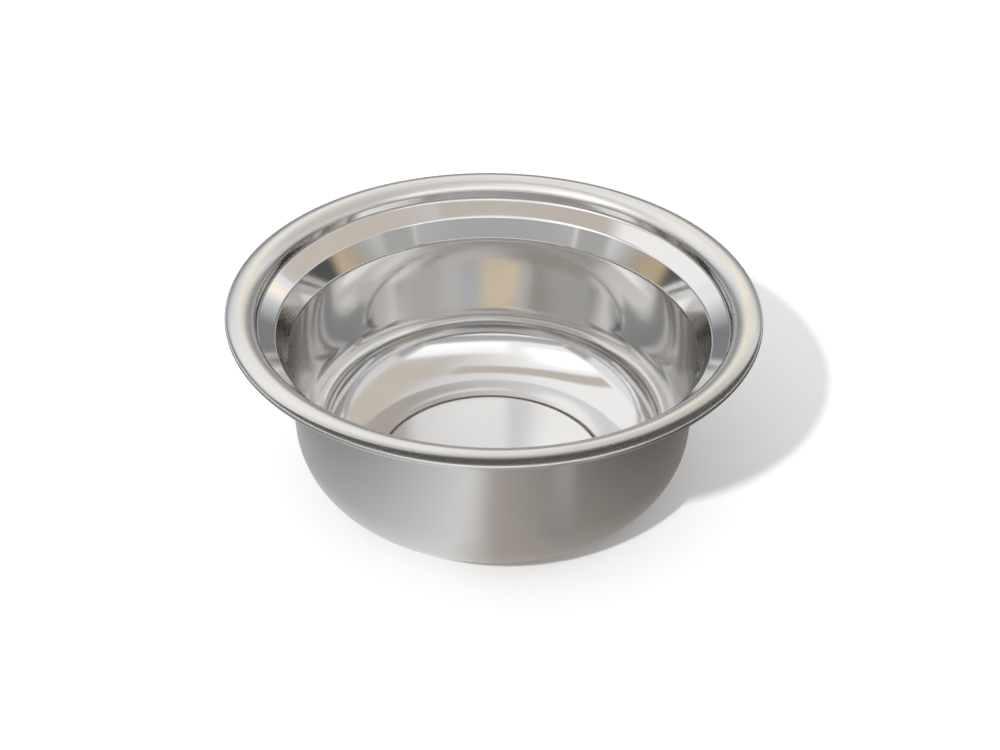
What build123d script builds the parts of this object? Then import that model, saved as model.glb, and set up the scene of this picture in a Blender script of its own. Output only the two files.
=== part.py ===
from build123d import *
import os
from math import cos, radians, sin, tan

# Stainless dog bowl: one drawn sheet with a rolled rim, and a rubber ring bonded under its floor.
# Millimetres, +Z up. The origin is on the axis, in the plane that the bowl stands on.
# Both pieces are turned about Z, so each is drawn as half a section: x is the radius, y the height.

# Sheet and overall size
sheet = 0.8                   # thickness of the drawn sheet
rim_diameter = 200.0          # across the widest circle of the rolled rim
steel_height = 80.2           # from the steel foot to the crown of the rim

# Rolled rim: a round crown that turns down at the mouth, and a tight roll at its outer edge
rim_width = 11.1              # from the mouth to the outer edge
mouth_bend = 1.2              # this and the next are radii of the sheet's outer face
roll_radius = 2.3
mouth_lean = 64.6             # degrees from upright where the crown passes into the mouth's bend
roll_lean = 27.3              # and into the roll
curl = 210.0                  # degrees that the roll turns

# Collar, ledge and taper below the rim
collar_height = 3.4           # upright stretch between the mouth and the ledge
collar_bend = 2.4
ledge_width = 6.9
ledge_drop = 4.8
ledge_bend = 2.2
taper_width = 4.45
taper_drop = 8.2
taper_bend = 3.2

# Wall, foot and floor
wall_draft = 2.8              # degrees
foot_bend_share = 0.3615      # of the wall's radius
foot_land = 1.5               # flat ring that the steel would stand on, outside the panel's step
panel_rise = 1.0              # of the raised middle of the floor
panel_step_width = 2.8
panel_bend = 1.6

# Rubber ring in the recess under the raised panel
ring_thickness = 1.6
ring_width = 12.0
ring_clearance = 1.2          # between the ring and the start of the step
ring_edge_radius = 0.5

# Radii of the sheet's middle line that follow from these; bends below the rim are those of this line
half_sheet = sheet / 2
mouth_radius = rim_diameter / 2 - rim_width + half_sheet
ledge_radius = mouth_radius - ledge_width
wall_radius = ledge_radius - taper_width
foot_bend = wall_radius * foot_bend_share

# Rim's three arcs: the crown touches the mouth's bend and the roll, which sets its radius
mouth_x = mouth_radius + mouth_bend - half_sheet
roll_x = rim_diameter / 2 - roll_radius
mouth_sine, roll_sine = sin(radians(mouth_lean)), sin(radians(roll_lean))
crown_span = roll_x - mouth_x + mouth_bend * mouth_sine + roll_radius * roll_sine
crown_radius = crown_span / (mouth_sine + roll_sine)
crown_x = roll_x - (crown_radius - roll_radius) * roll_sine
crown_z = ring_thickness - panel_rise + steel_height - crown_radius
mouth_z = crown_z + (crown_radius - mouth_bend) * cos(radians(mouth_lean))
roll_z = crown_z + (crown_radius - roll_radius) * cos(radians(roll_lean))

# Heights of the middle line, and the floor's radii
floor_z = ring_thickness - panel_rise + half_sheet
ledge_top_z = mouth_z - collar_height
ledge_foot_z = ledge_top_z - ledge_drop
wall_top_z = ledge_foot_z - taper_drop
foot_radius = wall_radius - (wall_top_z - floor_z) * tan(radians(wall_draft))
land_radius = foot_radius - foot_bend * tan(radians(90 - wall_draft) / 2) - foot_land
panel_radius = land_radius - panel_step_width


def middle_line():
    """Start, corners with their bends, and end of the sheet's middle line, from the axis to the mouth."""
    start = (0, floor_z + panel_rise)
    bends = [
        ((panel_radius, floor_z + panel_rise), panel_bend),
        ((land_radius, floor_z), panel_bend),
        ((foot_radius, floor_z), foot_bend),
        ((wall_radius, wall_top_z), taper_bend),
        ((ledge_radius, ledge_foot_z), ledge_bend),
        ((mouth_radius, ledge_top_z), collar_bend),
    ]
    end = (mouth_radius, mouth_z)
    return start, bends, end


def face_below_rim(inwards):
    """One face of the sheet below the rim, shifted from its middle line towards the inside of the bowl."""
    start, bends, end = middle_line()
    points = [Vector(*point) for point in [start] + [corner for corner, bend in bends] + [end]]
    along = [(after - before).normalized() for before, after in zip(points, points[1:])]
    left = [Vector(-step.Y, step.X) for step in along]
    shifted = [points[0] + left[0] * inwards]
    radii = []
    for index, (corner, bend) in enumerate(bends):
        before, after = left[index], left[index + 1]
        shifted.append(Vector(*corner) + (before + after) * (inwards / (1 + before.dot(after))))
        turns_left = along[index].cross(along[index + 1]).Z > 0
        radii.append(bend - inwards if turns_left else bend + inwards)
    shifted.append(points[-1] + left[-1] * inwards)
    return FilletPolyline(*shifted, radius=radii).edges()


def face_of_rim(depth):
    """The rim's three arcs, at a depth under its outer face: mouth, crown and roll."""
    return [
        CenterArc((mouth_x, mouth_z), mouth_bend - depth, 180, mouth_lean - 90),
        CenterArc((crown_x, crown_z), crown_radius - depth, 90 + mouth_lean, -mouth_lean - roll_lean),
        CenterArc((roll_x, roll_z), roll_radius - depth, 90 - roll_lean, -curl),
    ]


def turned(outline):
    """Closed half section, in the XZ plane, turned once about Z."""
    return revolve(Plane.XZ * make_face(outline), Axis.Z)


def bowl_shell():
    """The drawn sheet: floor with its raised panel, foot, wall, taper, ledge, collar and rolled rim."""
    inside = [*face_below_rim(half_sheet), *face_of_rim(0)]
    outside = [*face_below_rim(-half_sheet), *face_of_rim(sheet)]
    cut_edge = Line(inside[-1] @ 1, outside[-1] @ 1)
    on_axis = Line((0, ring_thickness), (0, ring_thickness + sheet))
    return turned([*inside, cut_edge, *outside, on_axis])


def non_skid_ring():
    """Flat rubber ring bonded face to face under the raised panel, proud of the steel foot."""
    outer = panel_radius - ring_clearance
    band = Pos(outer - ring_width / 2, ring_thickness / 2) * Rectangle(ring_width, ring_thickness)
    lower_corners = band.vertices().group_by(Axis.Y)[0]
    return turned(fillet(lower_corners, ring_edge_radius).edges())


os.makedirs("parts", exist_ok=True)
export_step(bowl_shell(), "parts/bowl_shell.step")
export_step(non_skid_ring(), "parts/non_skid_ring.step")
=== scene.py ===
# %% [markdown]
# # A stainless dog bowl
#
# The bowl is one disc of stainless sheet, drawn into shape in a press. Its edge is rolled outwards and
# down, which makes the thick rim. A flat rubber ring is bonded under the floor, so that the bowl does not
# slide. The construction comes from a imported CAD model, which this file loads first and never moves. What
# Blender adds is a finer mesh, the polish of the steel, and the studio around it.

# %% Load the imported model
import math
import bpy
from mathutils import Matrix, Vector


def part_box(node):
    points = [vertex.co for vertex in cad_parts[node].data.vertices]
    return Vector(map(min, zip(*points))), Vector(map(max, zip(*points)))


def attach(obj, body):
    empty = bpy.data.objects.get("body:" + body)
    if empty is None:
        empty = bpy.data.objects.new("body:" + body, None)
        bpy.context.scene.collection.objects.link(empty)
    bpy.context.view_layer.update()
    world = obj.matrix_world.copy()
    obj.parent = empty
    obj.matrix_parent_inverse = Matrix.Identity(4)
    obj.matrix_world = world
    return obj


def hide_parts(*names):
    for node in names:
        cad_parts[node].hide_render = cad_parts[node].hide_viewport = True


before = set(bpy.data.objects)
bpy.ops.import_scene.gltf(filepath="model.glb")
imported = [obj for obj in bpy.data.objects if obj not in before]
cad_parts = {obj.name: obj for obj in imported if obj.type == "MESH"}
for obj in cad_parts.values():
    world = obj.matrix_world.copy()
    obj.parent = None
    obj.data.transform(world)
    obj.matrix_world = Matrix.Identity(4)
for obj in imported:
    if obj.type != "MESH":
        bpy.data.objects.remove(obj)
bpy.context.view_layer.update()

shell_low, shell_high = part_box("bowl_shell")
ring_low, ring_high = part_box("non_skid_ring")
MM = 0.001

# %% [markdown]
# ## The camera
#
# The photograph looks down into the bowl. A camera is matched by finding where it stands (how far away, and
# how high above the rim), then its lens, then the small tilt of the picture. Here all of them came from
# fitting the outlines of the rim, the wall and the floor panel, and the camera aims a little below the
# rim's centre.

# %% Camera
RIM_CENTRE = Vector((0.0, 0.0, 0.078))
CAMERA_DISTANCE = 0.6109
CAMERA_ELEVATION = math.radians(32.457)
CAMERA_PITCH = math.radians(2.558)
CAMERA_YAW = math.radians(0.238)
CAMERA_ROLL = math.radians(0.861)
LENS_MM, SENSOR_MM = 58.65, 36.0
NEAR_CLIP = 0.01

scene = bpy.context.scene
camera = bpy.data.objects.new("camera", bpy.data.cameras.new("camera"))
scene.collection.objects.link(camera)
camera.data.lens = LENS_MM
camera.data.sensor_width = SENSOR_MM
camera.data.clip_start = NEAR_CLIP
stand_off = Vector((0.0, -math.cos(CAMERA_ELEVATION), math.sin(CAMERA_ELEVATION)))
camera.location = RIM_CENTRE + CAMERA_DISTANCE * stand_off
tilt = Matrix.Rotation(math.pi / 2 - CAMERA_ELEVATION - CAMERA_PITCH, 3, "X")
turn = Matrix.Rotation(-CAMERA_YAW, 3, "Y")
roll = Matrix.Rotation(CAMERA_ROLL, 3, "Z")
camera.rotation_euler = (tilt @ turn @ roll).to_euler()
scene.camera = camera
print("Camera at", [round(value, 3) for value in camera.location])

# %% [markdown]
# ## The section of the sheet
#
# A turned piece is fully described by half of its section. A drawn sheet is simpler still: it is one line,
# the middle of the sheet, with half of the thickness on each side. The line is a row of corners, and every
# corner has a bend radius. The rim is three arcs that touch. Each point also keeps its direction, because
# the two faces of the sheet lie square to it, and because a mirror needs exact normals.

# %% Sizes of the sheet
SHEET = 0.8 * MM
RIM_WIDTH, MOUTH_BEND, ROLL_RADIUS = 11.1 * MM, 1.2 * MM, 2.3 * MM
MOUTH_LEAN, ROLL_LEAN, CURL = math.radians(64.6), math.radians(27.3), math.radians(210.0)
COLLAR_HEIGHT, COLLAR_BEND = 3.4 * MM, 2.4 * MM
LEDGE_WIDTH, LEDGE_DROP, LEDGE_BEND = 6.9 * MM, 4.8 * MM, 2.2 * MM
TAPER_WIDTH, TAPER_DROP, TAPER_BEND = 4.45 * MM, 8.2 * MM, 3.2 * MM
WALL_DRAFT, FOOT_BEND_SHARE, FOOT_LAND = math.radians(2.8), 0.3615, 1.5 * MM
PANEL_RISE, PANEL_STEP_WIDTH, PANEL_BEND = 1.0 * MM, 2.8 * MM, 1.6 * MM

HALF_SHEET = SHEET / 2
rim_radius = shell_high.x
rim_top = shell_high.z
floor_z = shell_low.z + HALF_SHEET
mouth_radius = rim_radius - RIM_WIDTH + HALF_SHEET
ledge_radius = mouth_radius - LEDGE_WIDTH
wall_radius = ledge_radius - TAPER_WIDTH
foot_bend = wall_radius * FOOT_BEND_SHARE

mouth_x = mouth_radius + MOUTH_BEND - HALF_SHEET
roll_x = rim_radius - ROLL_RADIUS
crown_span = roll_x - mouth_x + MOUTH_BEND * math.sin(MOUTH_LEAN) + ROLL_RADIUS * math.sin(ROLL_LEAN)
crown_radius = crown_span / (math.sin(MOUTH_LEAN) + math.sin(ROLL_LEAN))
crown_x = roll_x - (crown_radius - ROLL_RADIUS) * math.sin(ROLL_LEAN)
crown_z = rim_top - crown_radius
mouth_z = crown_z + (crown_radius - MOUTH_BEND) * math.cos(MOUTH_LEAN)
roll_z = crown_z + (crown_radius - ROLL_RADIUS) * math.cos(ROLL_LEAN)

ledge_top_z = mouth_z - COLLAR_HEIGHT
ledge_foot_z = ledge_top_z - LEDGE_DROP
wall_top_z = ledge_foot_z - TAPER_DROP
foot_radius = wall_radius - (wall_top_z - floor_z) * math.tan(WALL_DRAFT)
land_radius = foot_radius - foot_bend * math.tan((math.pi / 2 - WALL_DRAFT) / 2) - FOOT_LAND
panel_radius = land_radius - PANEL_STEP_WIDTH
print("Mouth", round(2 * mouth_radius / MM, 1), "mm across, floor panel", round(2 * panel_radius / MM, 1))

# %% Lines and arcs as rows of points
LINE_STEP = 2.5 * MM
ARC_STEP = math.radians(5.0)
WIDE_ARC_STEP = math.radians(3.0)
WIDE_ARC = 8.0 * MM


def arc_points(centre, radius, start, sweep):
    """Points of an arc with the direction of travel at each."""
    step = WIDE_ARC_STEP if radius > WIDE_ARC else ARC_STEP
    count = max(2, math.ceil(abs(sweep) / step))
    turn = math.copysign(math.pi / 2, sweep)
    points = []
    for index in range(count + 1):
        angle = start + sweep * index / count
        place = centre + radius * Vector((math.cos(angle), math.sin(angle)))
        points.append((place, angle + turn))
    return points


def line_points(start, end):
    """Points strictly between the two ends of a straight stretch."""
    run = end - start
    count = math.ceil(run.length / LINE_STEP)
    heading = math.atan2(run.y, run.x)
    return [(start + run * index / count, heading) for index in range(1, count)]


def bent_line(corners, bends):
    """A line through corners, each rounded by its own bend radius."""
    first = corners[1] - corners[0]
    points = [(corners[0], math.atan2(first.y, first.x))]
    for before, corner, after, bend in zip(corners, corners[1:], corners[2:], bends):
        arrive = (corner - before).normalized()
        leave = (after - corner).normalized()
        turn = math.atan2(arrive.x * leave.y - arrive.y * leave.x, arrive.dot(leave))
        start = corner - arrive * bend * math.tan(abs(turn) / 2)
        left = Vector((-arrive.y, arrive.x)) * math.copysign(1, turn)
        centre = start + left * bend
        spoke = start - centre
        points += line_points(points[-1][0], start)
        points += arc_points(centre, bend, math.atan2(spoke.y, spoke.x), turn)
    return points + line_points(points[-1][0], corners[-1])


# %% Middle line of the sheet
def rim_points():
    """The rim: its bend at the mouth, the round crown, and the tight roll at its outer edge."""
    mouth, crown, roll = Vector((mouth_x, mouth_z)), Vector((crown_x, crown_z)), Vector((roll_x, roll_z))
    upright = math.pi / 2
    points = arc_points(mouth, MOUTH_BEND - HALF_SHEET, math.pi, MOUTH_LEAN - upright)
    points += arc_points(crown, crown_radius - HALF_SHEET, upright + MOUTH_LEAN, -MOUTH_LEAN - ROLL_LEAN)[1:]
    points += arc_points(roll, ROLL_RADIUS - HALF_SHEET, upright - ROLL_LEAN, -CURL)[1:]
    return points


corners = [Vector(corner) for corner in (
    (0.0, floor_z + PANEL_RISE),
    (panel_radius, floor_z + PANEL_RISE),
    (land_radius, floor_z),
    (foot_radius, floor_z),
    (wall_radius, wall_top_z),
    (ledge_radius, ledge_foot_z),
    (mouth_radius, ledge_top_z),
    (mouth_radius, mouth_z),
)]
bends = [PANEL_BEND, PANEL_BEND, foot_bend, TAPER_BEND, LEDGE_BEND, COLLAR_BEND]
below_rim = bent_line(corners, bends)
middle_line = below_rim + rim_points()
print("Middle line of the sheet:", len(middle_line), "points")


# %% Both faces of the sheet
RIM_SATIN, OUTSIDE_SATIN = 1.0, 0.55
# Points at the mouth over which the mirror passes into the rim's satin
SATIN_RAMP = 10
EDGE_STEPS = 6


def sheet_section(line, half, rim_start):
    """Closed section of a sheet: its inner face and rim, round the cut edge, and its outer face back.

    Each point has its place, its normal and how satin the polish is there, from 0, a mirror, to 1.
    """
    inner_face = []
    outer_face = []
    for index, (place, heading) in enumerate(line):
        square = Vector((-math.sin(heading), math.cos(heading)))
        satin = RIM_SATIN * min(1.0, max(0.0, (index - rim_start) / SATIN_RAMP))
        inner_face.append((place + square * half, square, satin))
        outer_face.append((place - square * half, -square, OUTSIDE_SATIN))
    end, heading = line[-1]
    edge = []
    for step in range(1, EDGE_STEPS):
        angle = heading + math.pi / 2 - math.pi * step / EDGE_STEPS
        outwards = Vector((math.cos(angle), math.sin(angle)))
        edge.append((end + outwards * half, outwards, RIM_SATIN))
    return inner_face + edge + outer_face[::-1]


shell_section = sheet_section(middle_line, HALF_SHEET, len(below_rim))
print("Section of the shell:", len(shell_section), "points")

# %% [markdown]
# ## Turning a section into a solid
#
# Blender has a Screw modifier and a Spin tool for turned pieces. A small Geometry Nodes tree does the same
# and says plainly what happens: a grid has one column for each step of the turn and one row for each point
# of the section. Each vertex looks up its row in the section, and its column gives the angle about Z.
# Merging by distance closes the seam and the two poles. The tree also stores how far along the section each
# vertex lies, and how satin the polish is there, which the steel uses later. The section's own normals are
# put back at the end, so that straight and bent stretches meet without a ripple in the reflections.

# %% Helper that adds a node
def add(tree, kind, links=None, **settings):
    """Adds a node, sets its properties, and links or sets its inputs by name or by number."""
    node = tree.nodes.new(kind)
    for name, value in settings.items():
        setattr(node, name, value)
    for socket, value in (links or {}).items():
        target = node.inputs[socket]
        if isinstance(value, bpy.types.NodeSocket):
            tree.links.new(value, target)
        else:
            target.default_value = value
    return node


# %% Node tree of the turned piece
def turned_tree():
    """Geometry Nodes tree that turns a section, given as a row of vertices, about Z."""
    tree = bpy.data.node_groups.new("turned_piece", "GeometryNodeTree")
    sockets = tree.interface
    sockets.new_socket("Section", in_out="INPUT", socket_type="NodeSocketObject")
    sockets.new_socket("Section Points", in_out="INPUT", socket_type="NodeSocketInt")
    sockets.new_socket("Steps Round", in_out="INPUT", socket_type="NodeSocketInt")
    sockets.new_socket("Weld Distance", in_out="INPUT", socket_type="NodeSocketFloat")
    sockets.new_socket("Finish", in_out="INPUT", socket_type="NodeSocketMaterial")
    sockets.new_socket("Mesh", in_out="OUTPUT", socket_type="NodeSocketGeometry")
    given = add(tree, "NodeGroupInput").outputs
    section = add(tree, "GeometryNodeObjectInfo", {"Object": given["Section"]}).outputs["Geometry"]
    columns = add(tree, "ShaderNodeMath", {0: given["Steps Round"], 1: 1.0}, operation="ADD").outputs[0]
    grid = add(tree, "GeometryNodeMeshGrid", {
        "Size X": 1.0, "Size Y": 1.0, "Vertices X": columns, "Vertices Y": given["Section Points"]}).outputs
    spread = add(tree, "ShaderNodeSeparateXYZ", {0: grid["UV Map"]}).outputs
    last_row = add(tree, "ShaderNodeMath", {0: given["Section Points"], 1: -1.0}, operation="ADD").outputs[0]
    row_value = add(tree, "ShaderNodeMath", {0: spread["Y"], 1: last_row}, operation="MULTIPLY").outputs[0]
    row = add(tree, "FunctionNodeFloatToInt", {0: row_value}, rounding_mode="ROUND").outputs[0]
    angle = add(tree, "ShaderNodeMath", {0: spread["X"], 1: 2 * math.pi}, operation="MULTIPLY").outputs[0]
    looked_up = {}
    for name, kind in (("position", "FLOAT_VECTOR"), ("square", "FLOAT_VECTOR"), ("along", "FLOAT"),
                       ("satin", "FLOAT")):
        if name == "position":
            value = add(tree, "GeometryNodeInputPosition").outputs[0]
        else:
            stored = add(tree, "GeometryNodeInputNamedAttribute", {"Name": name}, data_type=kind)
            value = stored.outputs["Attribute"]
        looked_up[name] = add(tree, "GeometryNodeSampleIndex", {
            "Geometry": section, "Value": value, "Index": row}, data_type=kind).outputs[0]
    about_z = {}
    for name in ("position", "square"):
        about_z[name] = add(tree, "ShaderNodeVectorRotate", {
            "Vector": looked_up[name], "Axis": (0.0, 0.0, 1.0), "Angle": angle}).outputs[0]
    shape = add(tree, "GeometryNodeSetPosition", {
        "Geometry": grid["Mesh"], "Position": about_z["position"]}).outputs[0]
    for name, kind, value in (("square", "FLOAT_VECTOR", about_z["square"]),
                              ("along", "FLOAT", looked_up["along"]), ("satin", "FLOAT", looked_up["satin"])):
        shape = add(tree, "GeometryNodeStoreNamedAttribute", {
            "Geometry": shape, "Name": name, "Value": value}, data_type=kind, domain="POINT").outputs[0]
    welded = add(tree, "GeometryNodeMergeByDistance", {
        "Geometry": shape, "Distance": given["Weld Distance"]}).outputs[0]
    outwards = add(tree, "GeometryNodeFlipFaces", {"Mesh": welded}).outputs[0]
    smooth = add(tree, "GeometryNodeSetShadeSmooth", {"Geometry": outwards}).outputs[0]
    whole = add(tree, "GeometryNodeRealizeInstances", {"Geometry": smooth}).outputs[0]
    finished = add(tree, "GeometryNodeSetMaterial", {
        "Geometry": whole, "Material": given["Finish"]}).outputs[0]
    add(tree, "NodeGroupOutput", {"Mesh": finished})
    return tree


TURNED = turned_tree()
print("Turned piece:", len(TURNED.nodes), "nodes")


# %% Turn a section and keep the result as a plain mesh
WELD_DISTANCE = 0.002 * MM


def section_object(name, section):
    """The section as a row of vertices in the XZ plane, with its normals, running length in mm and polish."""
    mesh = bpy.data.meshes.new(name)
    mesh.from_pydata([(place.x, 0.0, place.y) for place, square, satin in section], [], [])
    mesh.attributes.new("square", "FLOAT_VECTOR", "POINT")
    mesh.attributes.new("along", "FLOAT", "POINT")
    mesh.attributes.new("satin", "FLOAT", "POINT")
    run = 0.0
    for index, (place, square, satin) in enumerate(section):
        if index:
            run += (place - section[index - 1][0]).length
        mesh.attributes["square"].data[index].vector = (square.x, 0.0, square.y)
        mesh.attributes["along"].data[index].value = run / MM
        mesh.attributes["satin"].data[index].value = satin
    return bpy.data.objects.new(name, mesh)


def turned_piece(name, section, steps, finish):
    """A turned piece at the origin, with its place in its mesh and its section's own normals."""
    row = section_object(name + "_section", section)
    maker = bpy.data.objects.new(name + "_maker", bpy.data.meshes.new(name + "_maker"))
    for helper in (row, maker):
        scene.collection.objects.link(helper)
    modifier = maker.modifiers.new("turned", "NODES")
    modifier.node_group = TURNED
    values = {"Section": row, "Section Points": len(section), "Steps Round": steps,
              "Weld Distance": WELD_DISTANCE, "Finish": finish}
    for item in TURNED.interface.items_tree:
        if item.in_out == "INPUT":
            modifier[item.identifier] = values[item.name]
    evaluated = maker.evaluated_get(bpy.context.evaluated_depsgraph_get())
    mesh = bpy.data.meshes.new_from_object(evaluated)
    mesh.name = name
    mesh.materials.clear()
    mesh.materials.append(finish)
    normals = [tuple(item.vector) for item in mesh.attributes["square"].data]
    mesh.normals_split_custom_set_from_vertices(normals)
    piece = bpy.data.objects.new(name, mesh)
    scene.collection.objects.link(piece)
    for helper in (maker, row):
        bpy.data.objects.remove(helper)
    print(name, "has", sum(len(face.vertices) - 2 for face in mesh.polygons), "triangles")
    return piece


# %% [markdown]
# ## Colours
#
# Colours are written as sRGB hex values, the way a colour picker shows them. Shaders work with linear
# light, so one function turns the first into the second.

# %% Colour helper
def linear(hex_colour):
    """Linear RGBA of an sRGB hex colour."""
    channels = [int(hex_colour[start:start + 2], 16) / 255 for start in (1, 3, 5)]
    return [c / 12.92 if c <= 0.04045 else ((c + 0.055) / 1.055) ** 2.4 for c in channels] + [1.0]


# %% [markdown]
# ## Polished stainless steel
#
# Stainless dishes are polished after drawing. A polishing wheel runs round the turning bowl, so its marks
# are hair-fine lines round the axis. Inside, that is a clear mirror, slightly grey. The rim and the outside
# are polished less, so their reflections are softer and the lines show more. Drawing also leaves the sheet
# a little uneven, which makes straight reflections waver. The step round the floor panel gets painted shade:
# a dark grey in the steel's colour there stands for the shade in that crease. An image could hold such
# lines, but noise that is stretched round the axis has no seam and needs no file.

# %% Steel
# The darkest grey is painted shade, for the crease of the step round the floor panel.
STEEL_GREY, SMUDGED_GREY, STEP_SHADE_GREY = "#e0dfde", "#d9d8d7", "#4a4847"
MIRROR_ROUGHNESS, SATIN_ROUGHNESS = 0.08, 0.28
# Real polishing lines are closer together. These are drawn wider, so that they show from this far away.
LINE_SPACING_MM, LINES_IN_A_TURN = 0.7, 3.0
LINE_DEPTH, WAVE_DEPTH = 0.004 * MM, 0.05 * MM
LINES_ON_MIRROR, LINES_ON_SATIN = 0.2, 1.0
SMOOTHER_LINE, ROUGHER_LINE = 0.6, 1.4
WAVE_LENGTH, SMUDGE_LENGTH = 22 * MM, 35 * MM
# Middle of the step round the floor panel, as a length along the sheet from the axis
STEP_MM = (panel_radius + math.hypot(PANEL_STEP_WIDTH, PANEL_RISE) / 2) / MM
STEP_HALF_WIDTH_MM = 1.2
# A Mix node has sockets of one name for each kind of value. These are the colour ones.
MIX_A, MIX_B, MIX_RESULT = 6, 7, 2


def polished_steel():
    """Stainless sheet with polishing lines: a mirror inside, satin on the rim and outside."""
    material = bpy.data.materials.new("polished_stainless_steel")
    material.use_nodes = True
    tree = material.node_tree
    shader = tree.nodes["Principled BSDF"]
    shader.inputs["Metallic"].default_value = 1.0
    place = add(tree, "ShaderNodeTexCoord").outputs["Object"]
    along = add(tree, "ShaderNodeAttribute", attribute_name="along").outputs["Fac"]
    satin = add(tree, "ShaderNodeAttribute", attribute_name="satin").outputs["Fac"]

    # Lines round the axis: noise that is fine along the section and slow round the turn
    flat = add(tree, "ShaderNodeVectorMath", {0: place, 1: (1, 1, 0)}, operation="MULTIPLY").outputs[0]
    spoke = add(tree, "ShaderNodeVectorMath", {0: flat}, operation="NORMALIZE").outputs[0]
    across = add(tree, "ShaderNodeMath", {0: along, 1: LINE_SPACING_MM}, operation="DIVIDE").outputs[0]
    row = add(tree, "ShaderNodeCombineXYZ", {"Z": across}).outputs[0]
    streak = add(tree, "ShaderNodeVectorMath", {
        0: spoke, 1: (LINES_IN_A_TURN, LINES_IN_A_TURN, 0), 2: row}, operation="MULTIPLY_ADD").outputs[0]
    lines = add(tree, "ShaderNodeTexNoise", {"Vector": streak, "Scale": 1.0, "Detail": 2.0}).outputs["Fac"]

    # Unevenness of the drawn sheet, with the lines on top of it
    waves = add(tree, "ShaderNodeTexNoise", {"Vector": place, "Scale": 1 / WAVE_LENGTH, "Detail": 0.0})
    uneven = add(tree, "ShaderNodeBump", {"Height": waves.outputs["Fac"], "Distance": WAVE_DEPTH}).outputs[0]
    strength = add(tree, "ShaderNodeMapRange", {
        "Value": satin, "To Min": LINES_ON_MIRROR, "To Max": LINES_ON_SATIN}).outputs["Result"]
    lined = add(tree, "ShaderNodeBump", {
        "Height": lines, "Distance": LINE_DEPTH, "Strength": strength, "Normal": uneven}).outputs[0]
    tree.links.new(lined, shader.inputs["Normal"])

    # Roughness: the polish of each face, a little rougher in some lines than in others
    polish = add(tree, "ShaderNodeMapRange", {
        "Value": satin, "To Min": MIRROR_ROUGHNESS, "To Max": SATIN_ROUGHNESS}).outputs["Result"]
    in_lines = add(tree, "ShaderNodeMapRange", {
        "Value": lines, "To Min": SMOOTHER_LINE, "To Max": ROUGHER_LINE}).outputs["Result"]
    roughness = add(tree, "ShaderNodeMath", {0: polish, 1: in_lines}, operation="MULTIPLY").outputs[0]
    tree.links.new(roughness, shader.inputs["Roughness"])

    # Colour: faint smudges, and painted shade in the crease of the step round the floor panel
    smudges = add(tree, "ShaderNodeTexNoise", {"Vector": place, "Scale": 1 / SMUDGE_LENGTH, "Detail": 3.0})
    grey = add(tree, "ShaderNodeMix", {
        0: smudges.outputs["Fac"], MIX_A: linear(STEEL_GREY), MIX_B: linear(SMUDGED_GREY)},
        data_type="RGBA").outputs[MIX_RESULT]
    # Painted shade: the colour darkens along the step round the floor panel, where the crease would be in
    # shade.
    off_step = add(tree, "ShaderNodeMath", {0: along, 1: STEP_MM}, operation="SUBTRACT").outputs[0]
    distance = add(tree, "ShaderNodeMath", {0: off_step}, operation="ABSOLUTE").outputs[0]
    painted_shade = add(tree, "ShaderNodeMapRange", {
        "Value": distance, "From Min": STEP_HALF_WIDTH_MM, "From Max": 0.0},
        interpolation_type="SMOOTHSTEP").outputs["Result"]
    colour = add(tree, "ShaderNodeMix", {
        0: painted_shade, MIX_A: grey, MIX_B: linear(STEP_SHADE_GREY)}, data_type="RGBA").outputs[MIX_RESULT]
    tree.links.new(colour, shader.inputs["Base Color"])
    return material


STEEL = polished_steel()
print("Steel:", len(STEEL.node_tree.nodes), "nodes")

# %% [markdown]
# ## The shell
#
# The whole steel bowl is one turned piece, so it stands for the CAD node of the same sheet. Its mesh is
# finer than the CAD one, because a mirror shows every flat. A Subdivision modifier could round a coarse
# mesh instead, but it would pull the tight bends away from their true radii.

# %% Shell
STEPS_ROUND = 256
shell = turned_piece("drawn_shell", shell_section, STEPS_ROUND, STEEL)
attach(shell, "root")
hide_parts("bowl_shell")

# %% [markdown]
# ## The rubber ring
#
# The CAD ring has the right shape, so it stays, and gets a rubber finish. Rubber takes the fine grain of
# the mould that it was pressed in, which makes it matt. Where it stands on the floor it is scuffed and
# holds dust, so it is paler there. The height above the floor says where that is, so nothing has to be
# painted by hand.

# %% Ring
RUBBER_BLACK, RUBBER_GREY, RUBBER_DUST = "#19191a", "#232324", "#3b3a38"
GRAIN_LENGTH, GRAIN_DEPTH = 0.4 * MM, 0.02 * MM
GRAIN_SMOOTH, GRAIN_ROUGH = 0.55, 0.85
DUST_LENGTH = 6 * MM
DUST_TOP = 0.3 * MM


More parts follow.
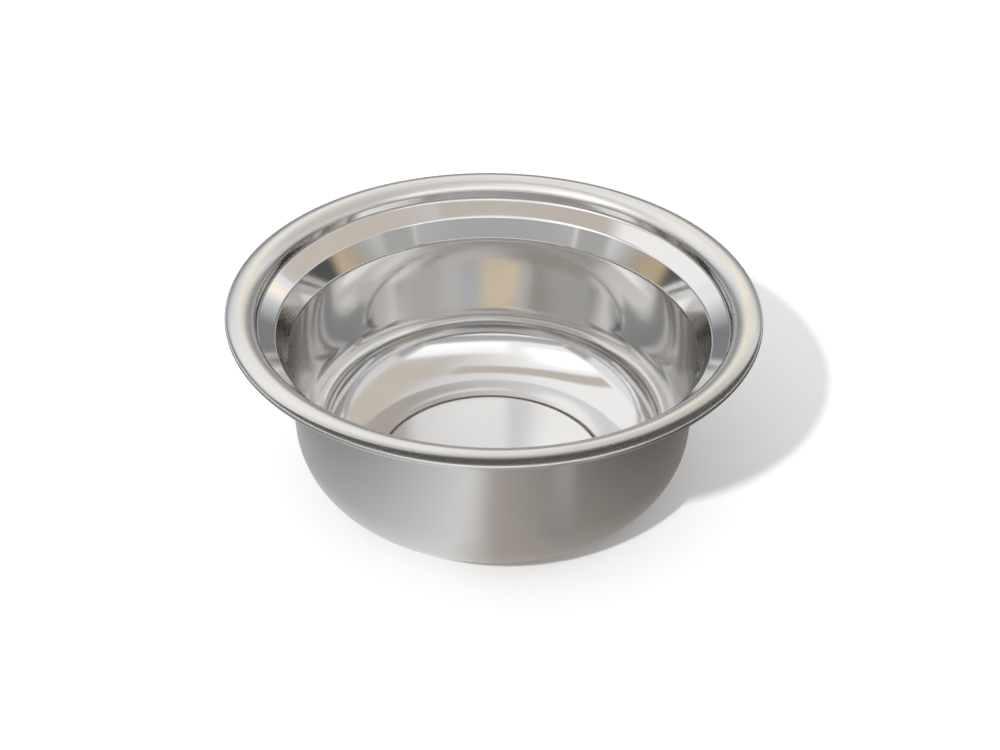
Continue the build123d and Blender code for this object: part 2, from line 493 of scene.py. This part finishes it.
def ring_rubber():
    """Black moulded rubber, matt with a fine grain and dusty underneath."""
    material = bpy.data.materials.new("moulded_rubber")
    material.use_nodes = True
    tree = material.node_tree
    shader = tree.nodes["Principled BSDF"]
    place = add(tree, "ShaderNodeTexCoord").outputs["Object"]
    grain = add(tree, "ShaderNodeTexNoise", {
        "Vector": place, "Scale": 1 / GRAIN_LENGTH, "Detail": 2.0}).outputs["Fac"]
    bump = add(tree, "ShaderNodeBump", {"Height": grain, "Distance": GRAIN_DEPTH}).outputs[0]
    tree.links.new(bump, shader.inputs["Normal"])
    roughness = add(tree, "ShaderNodeMapRange", {
        "Value": grain, "To Min": GRAIN_SMOOTH, "To Max": GRAIN_ROUGH}).outputs["Result"]
    tree.links.new(roughness, shader.inputs["Roughness"])
    black = add(tree, "ShaderNodeMix", {
        0: grain, MIX_A: linear(RUBBER_BLACK), MIX_B: linear(RUBBER_GREY)},
        data_type="RGBA").outputs[MIX_RESULT]
    height = add(tree, "ShaderNodeSeparateXYZ", {0: place}).outputs["Z"]
    low = add(tree, "ShaderNodeMapRange", {
        "Value": height, "From Min": DUST_TOP, "From Max": 0.0}).outputs["Result"]
    patches = add(tree, "ShaderNodeTexNoise", {
        "Vector": place, "Scale": 1 / DUST_LENGTH, "Detail": 4.0}).outputs["Fac"]
    dust = add(tree, "ShaderNodeMath", {0: low, 1: patches}, operation="MULTIPLY").outputs[0]
    colour = add(tree, "ShaderNodeMix", {
        0: dust, MIX_A: black, MIX_B: linear(RUBBER_DUST)}, data_type="RGBA").outputs[MIX_RESULT]
    tree.links.new(colour, shader.inputs["Base Color"])
    return material


ring_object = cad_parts["non_skid_ring"]
ring_object.data.materials.clear()
ring_object.data.materials.append(ring_rubber())
print("Rubber ring:", round((ring_high.x - ring_low.x) / MM, 1), "mm across")

# %% [markdown]
# ## The studio
#
# A mirror shows the room more than itself, so polished steel is photographed inside a tent of pale cards.
# Their light is bright overhead and fades towards the table. A bare lamp could light the steel too, but it
# would show as a small hard spot, while a card shows as a calm pale surface. Each card here is a plain
# glowing rectangle, most of them with soft edges, and is seen in the steel only: the table gets its light
# from a lamp and the sky.

# %% Cards
HARD_EDGE = 0.001


def stage_plane(name, size, place, turn, material):
    """A rectangle of the studio, which is not part of the object."""
    half_x, half_y = size[0] / 2, size[1] / 2
    mesh = bpy.data.meshes.new(name)
    corner_points = [(-half_x, -half_y, 0), (half_x, -half_y, 0), (half_x, half_y, 0), (-half_x, half_y, 0)]
    mesh.from_pydata(corner_points, [], [(0, 1, 2, 3)])
    mesh.materials.append(material)
    card = bpy.data.objects.new(name, mesh)
    card.location = place
    card.rotation_euler = turn
    scene.collection.objects.link(card)
    print("Studio:", name)
    return card


def glow(name, size, colour, light, rise, soft):
    """Light of a card. It changes from one value to another along local Y, and fades at the edges."""
    material = bpy.data.materials.new(name)
    material.use_nodes = True
    tree = material.node_tree
    tree.nodes.clear()
    place = add(tree, "ShaderNodeTexCoord").outputs["Object"]
    axes = add(tree, "ShaderNodeSeparateXYZ", {0: place}).outputs
    strength = add(tree, "ShaderNodeMapRange", {
        "Value": axes["Y"], "From Min": rise[0], "From Max": rise[1],
        "To Min": light[0], "To Max": light[1]}).outputs["Result"]
    shine = add(tree, "ShaderNodeEmission", {
        "Color": linear(colour), "Strength": strength}).outputs["Emission"]
    clear = add(tree, "ShaderNodeBsdfTransparent").outputs["BSDF"]
    inside = []
    for axis, side in (("X", size[0]), ("Y", size[1])):
        off_centre = add(tree, "ShaderNodeMath", {0: axes[axis]}, operation="ABSOLUTE").outputs[0]
        inside.append(add(tree, "ShaderNodeMapRange", {
            "Value": off_centre, "From Min": side / 2, "From Max": side / 2 - min(soft, side / 2)},
            interpolation_type="SMOOTHSTEP").outputs["Result"])
    cover = add(tree, "ShaderNodeMath", {0: inside[0], 1: inside[1]}, operation="MULTIPLY").outputs[0]
    surface = add(tree, "ShaderNodeMixShader", {0: cover, 1: clear, 2: shine}).outputs["Shader"]
    add(tree, "ShaderNodeOutputMaterial", {"Surface": surface})
    return material


def reflections_only(stage_object):
    """Leaves a piece of the studio in reflections, and takes it out of everything else."""
    stage_object.visible_camera = False
    stage_object.visible_diffuse = False
    stage_object.visible_shadow = False


def light_card(name, colour, turn, size, place, light, rise=None, soft=HARD_EDGE):
    """A glowing card that only reflections see. Its light is even, or has two values along its local Y."""
    light = light if isinstance(light, tuple) else (light, light)
    rise = rise or (-size[1] / 2, size[1] / 2)
    card = stage_plane(name, size, place, turn, glow(name, size, colour, light, rise, soft))
    reflections_only(card)


# %% [markdown]
# The tent is a closed box, and the camera does not see its cards. The ceiling is brighter on the left, the
# side of the lamp. The walls are dark at their feet, which gives the steel its deep tones. Sizes and places
# are in metres, from the bowl's axis and from the table.

# %% Walls and ceiling
FLAT = (0, 0, 0)
FACING = (math.pi / 2, 0, 0)
SIDEWAYS = (math.pi / 2, 0, math.pi / 2)
LEFTWARDS, RIGHTWARDS = (0, 0, math.pi / 2), (0, 0, -math.pi / 2)
WHITE, COOL = "#ffffff", "#f9fbff"
TENT_SIDE, TENT_FRONT, TENT_BACK, TENT_TOP = 0.76, -0.75, 0.65, 0.62
CORNER_OVERLAP = 0.02

tent_width, tent_depth = 2 * TENT_SIDE, TENT_BACK - TENT_FRONT
middle_y, middle_z = (TENT_FRONT + TENT_BACK) / 2, TENT_TOP / 2
side_size, end_size = (tent_depth, TENT_TOP), (tent_width, TENT_TOP)
ceiling_size = (tent_depth + CORNER_OVERLAP, tent_width + CORNER_OVERLAP)
light_card("ceiling", WHITE, LEFTWARDS, ceiling_size, (0, middle_y, TENT_TOP), light=(0.75, 1.15),
           rise=(-0.2, 0.15))
light_card("wall_left", WHITE, SIDEWAYS, side_size, (-TENT_SIDE, middle_y, middle_z), light=(0.12, 1.0),
           rise=(-0.08, 0.12))
light_card("wall_right", WHITE, SIDEWAYS, side_size, (TENT_SIDE, middle_y, middle_z), light=(0.1, 0.85),
           rise=(-0.08, 0.12))
light_card("wall_back", COOL, FACING, end_size, (0, TENT_BACK, middle_z), light=(0.28, 1.1),
           rise=(-0.03, 0.16))
light_card("wall_front", WHITE, FACING, end_size, (0, TENT_FRONT, middle_z), light=(0.1, 0.62))

# %% [markdown]
# Other cards hang just inside the tent. The far side of the bowl shows what is behind the camera, so dim
# ones at the front corners keep the taper grey, with a bright band across the front wall. A soft box on the
# left and a card above the lens are bright. They show in the floor, by way of the far wall. A beige strip
# over the bowl is dimmer than the ceiling, and greys the far ledge.

# %% Cards inside the tent
BEIGE = "#f8eee2"
for corner_name, corner_x in (("front_left", -0.755), ("front_right", 0.755)):
    light_card(corner_name, WHITE, SIDEWAYS, size=(0.48, 0.34), place=(corner_x, -0.52, 0.47), light=0.5,
               soft=0.1)
light_card("front_band", WHITE, FACING, size=(1.3, 0.13), place=(0, -0.74, 0.385), light=1.1, soft=0.03)
light_card("above_bowl", BEIGE, FLAT, size=(1.3, 0.19), place=(0, 0.055, 0.60), light=0.72, soft=0.05)
light_card("soft_box", WHITE, FLAT, size=(0.66, 0.56), place=(-0.45, -0.30, 0.595), light=1.6, soft=0.18)
light_card("above_lens", WHITE, FLAT, size=(0.90, 0.50), place=(0.28, -0.47, 0.605), light=(1.6, 1.15),
           soft=0.12)

# %% [markdown]
# Steel has hardly any colour of its own. Most of its warm tones come from a few cream and gold cards at the
# back and the sides, and from a beige one on the right.

# %% Warm cards
CREAM, GOLD = "#ffecc6", "#ffe8c2"
light_card("warm_right", BEIGE, FLAT, size=(0.66, 0.90), place=(0.44, 0.20, 0.60), light=0.78, soft=0.15)
light_card("back_cream", CREAM, FACING, size=(0.86, 0.17), place=(0.12, 0.63, 0.485), light=1.65, soft=0.3)
light_card("gold_right", GOLD, SIDEWAYS, size=(0.8, 0.24), place=(0.75, -0.25, 0.24), light=0.7, soft=0.12)
light_card("gold_left", GOLD, SIDEWAYS, size=(0.8, 0.22), place=(-0.75, -0.15, 0.24), light=0.6, soft=0.12)

# %% [markdown]
# The outside of the bowl shows the table. A white table in the light of the lamp would make the wall as
# pale as the paper, so the table is hidden from the steel, and glowing cards that lie just under it stand in
# for it there: the light and shade that the steel shows of the table are painted into their glow. The far one
# is bright all over. On it lie two others, next to the bowl, which are pale in the middle and darker towards
# both sides, most of all on the right, where their glow holds a painted shadow of the bowl. A narrow pale
# strip lies on top at the front right, and paints a pale streak into the wall's reflection.

# %% Glowing cards that stand in for the paper in the steel
BROWN = "#f5ece3"
STRIP_TURN = (0, 0, math.radians(-137))
light_card("paper_far", WHITE, FLAT, size=(4.0, 4.0), place=(0, 0.6, -0.003), light=1.15)
# Painted shadow: this card's glow is dim on the right, where the bowl's shadow falls on the table.
light_card("paper_right", BROWN, LEFTWARDS, size=(0.44, 0.55), place=(0.125, 0, -0.002),
           light=(0.10, 0.55), rise=(-0.025, 0.135), soft=0.02)
light_card("paper_left", WHITE, RIGHTWARDS, size=(0.44, 0.30), place=(-0.145, 0, -0.001),
           light=(0.24, 0.95), rise=(0.0, 0.15), soft=0.03)
# Painted streak: this glowing strip puts a pale streak into the wall's reflection.
light_card("paper_strip", WHITE, STRIP_TURN, size=(0.03, 0.18), place=(0.095, -0.15, -0.0005),
           light=(0.3, 0.7), soft=0.012)

# %% [markdown]
# A strip of dark card hangs close above the front of the rim, and its reflection darkens the rim's outer
# slope. Photographers call such a card a flag. It narrows to both ends, so that the dark band fades out.

# %% Flag
CARD_GREY, CARD_ROUGHNESS = "#6a6a6a", 1.0
FLAG_OUTER_RADIUS, FLAG_OUTER_HEIGHT = 0.1125, 0.0818
FLAG_INNER_RADIUS, FLAG_INNER_HEIGHT = 0.0958, 0.0897
FLAG_START, FLAG_END = math.radians(-5), math.radians(-145)
FLAG_STEPS = 48


def matt(name, colour, roughness):
    """A plain matt surface of one colour, such as card or paper."""
    material = bpy.data.materials.new(name)
    material.use_nodes = True
    shader = material.node_tree.nodes["Principled BSDF"]
    shader.inputs["Base Color"].default_value = linear(colour)
    shader.inputs["Roughness"].default_value = roughness
    shader.inputs["Specular IOR Level"].default_value = 0.0
    return material


def flag():
    """A strip round the rim, between an outer and an inner circle, that narrows towards both of its ends."""
    points = []
    for step in range(FLAG_STEPS + 1):
        along_strip = step / FLAG_STEPS
        angle = FLAG_START + (FLAG_END - FLAG_START) * along_strip
        width = math.sqrt(math.sin(math.pi * along_strip))
        for share in (0.0, width):
            radius = FLAG_OUTER_RADIUS + (FLAG_INNER_RADIUS - FLAG_OUTER_RADIUS) * share
            height = FLAG_OUTER_HEIGHT + (FLAG_INNER_HEIGHT - FLAG_OUTER_HEIGHT) * share
            points.append((radius * math.cos(angle), radius * math.sin(angle), height))
    mesh = bpy.data.meshes.new("flag")
    mesh.from_pydata(points, [], [(k, k + 1, k + 3, k + 2) for k in range(0, 2 * FLAG_STEPS, 2)])
    mesh.materials.append(matt("dark_card", CARD_GREY, CARD_ROUGHNESS))
    strip = bpy.data.objects.new("flag", mesh)
    scene.collection.objects.link(strip)
    reflections_only(strip)
    print("Studio: flag of", len(mesh.polygons), "faces")


flag()

# %% [markdown]
# ## Table, lamp and sky
#
# The bowl stands on plain white paper, so large that its edge stays out of most pictures. A small lamp
# stands high up, in front and on the left. It gives the shadow on the right its fairly crisp edge, and a
# pale sky fills the shadow. None of the three is seen in the steel. The Standard view transform keeps the
# paper white, which others turn grey.

# %% Table
PAPER_WHITE, PAPER_ROUGHNESS = "#f2f2f2", 0.9
TABLE_SIZE = 20.0

paper = matt("white_paper", PAPER_WHITE, PAPER_ROUGHNESS)
table = stage_plane("table", (TABLE_SIZE, TABLE_SIZE), (0, 0, 0), FLAT, paper)
table.visible_glossy = False

# %% Lamp
LAMP_SIZE, LAMP_POWER = 0.15, 64.0
LAMP_PLACE = Vector((-1.08, -1.95, 2.01))

lamp = bpy.data.objects.new("key", bpy.data.lights.new("key", "AREA"))
lamp.data.shape = "DISK"
lamp.data.size = LAMP_SIZE
lamp.data.energy = LAMP_POWER
lamp.location = LAMP_PLACE
lamp.rotation_euler = (-LAMP_PLACE).to_track_quat("-Z", "Y").to_euler()
lamp.visible_glossy = False
scene.collection.objects.link(lamp)
print("Lamp", round(LAMP_PLACE.length, 2), "m from the bowl")

# %% Sky
SKY_STRENGTH = 0.93

world = bpy.data.worlds.new("studio")
scene.world = world
world.use_nodes = True
background = world.node_tree.nodes["Background"].inputs
background["Color"].default_value = linear(WHITE)
background["Strength"].default_value = SKY_STRENGTH
world.cycles_visibility.glossy = False
scene.view_settings.view_transform = "Standard"
print("Sky strength:", SKY_STRENGTH)

# %% [markdown]
# Inside a bowl, light goes from wall to wall many times before it comes out, and a path that is cut short
# shows black. So more bounces are allowed than Cycles starts with.

# %% Reflections of reflections
BOUNCES = 24
scene.cycles.max_bounces = BOUNCES
scene.cycles.glossy_bounces = BOUNCES
print("Bounces:", BOUNCES)
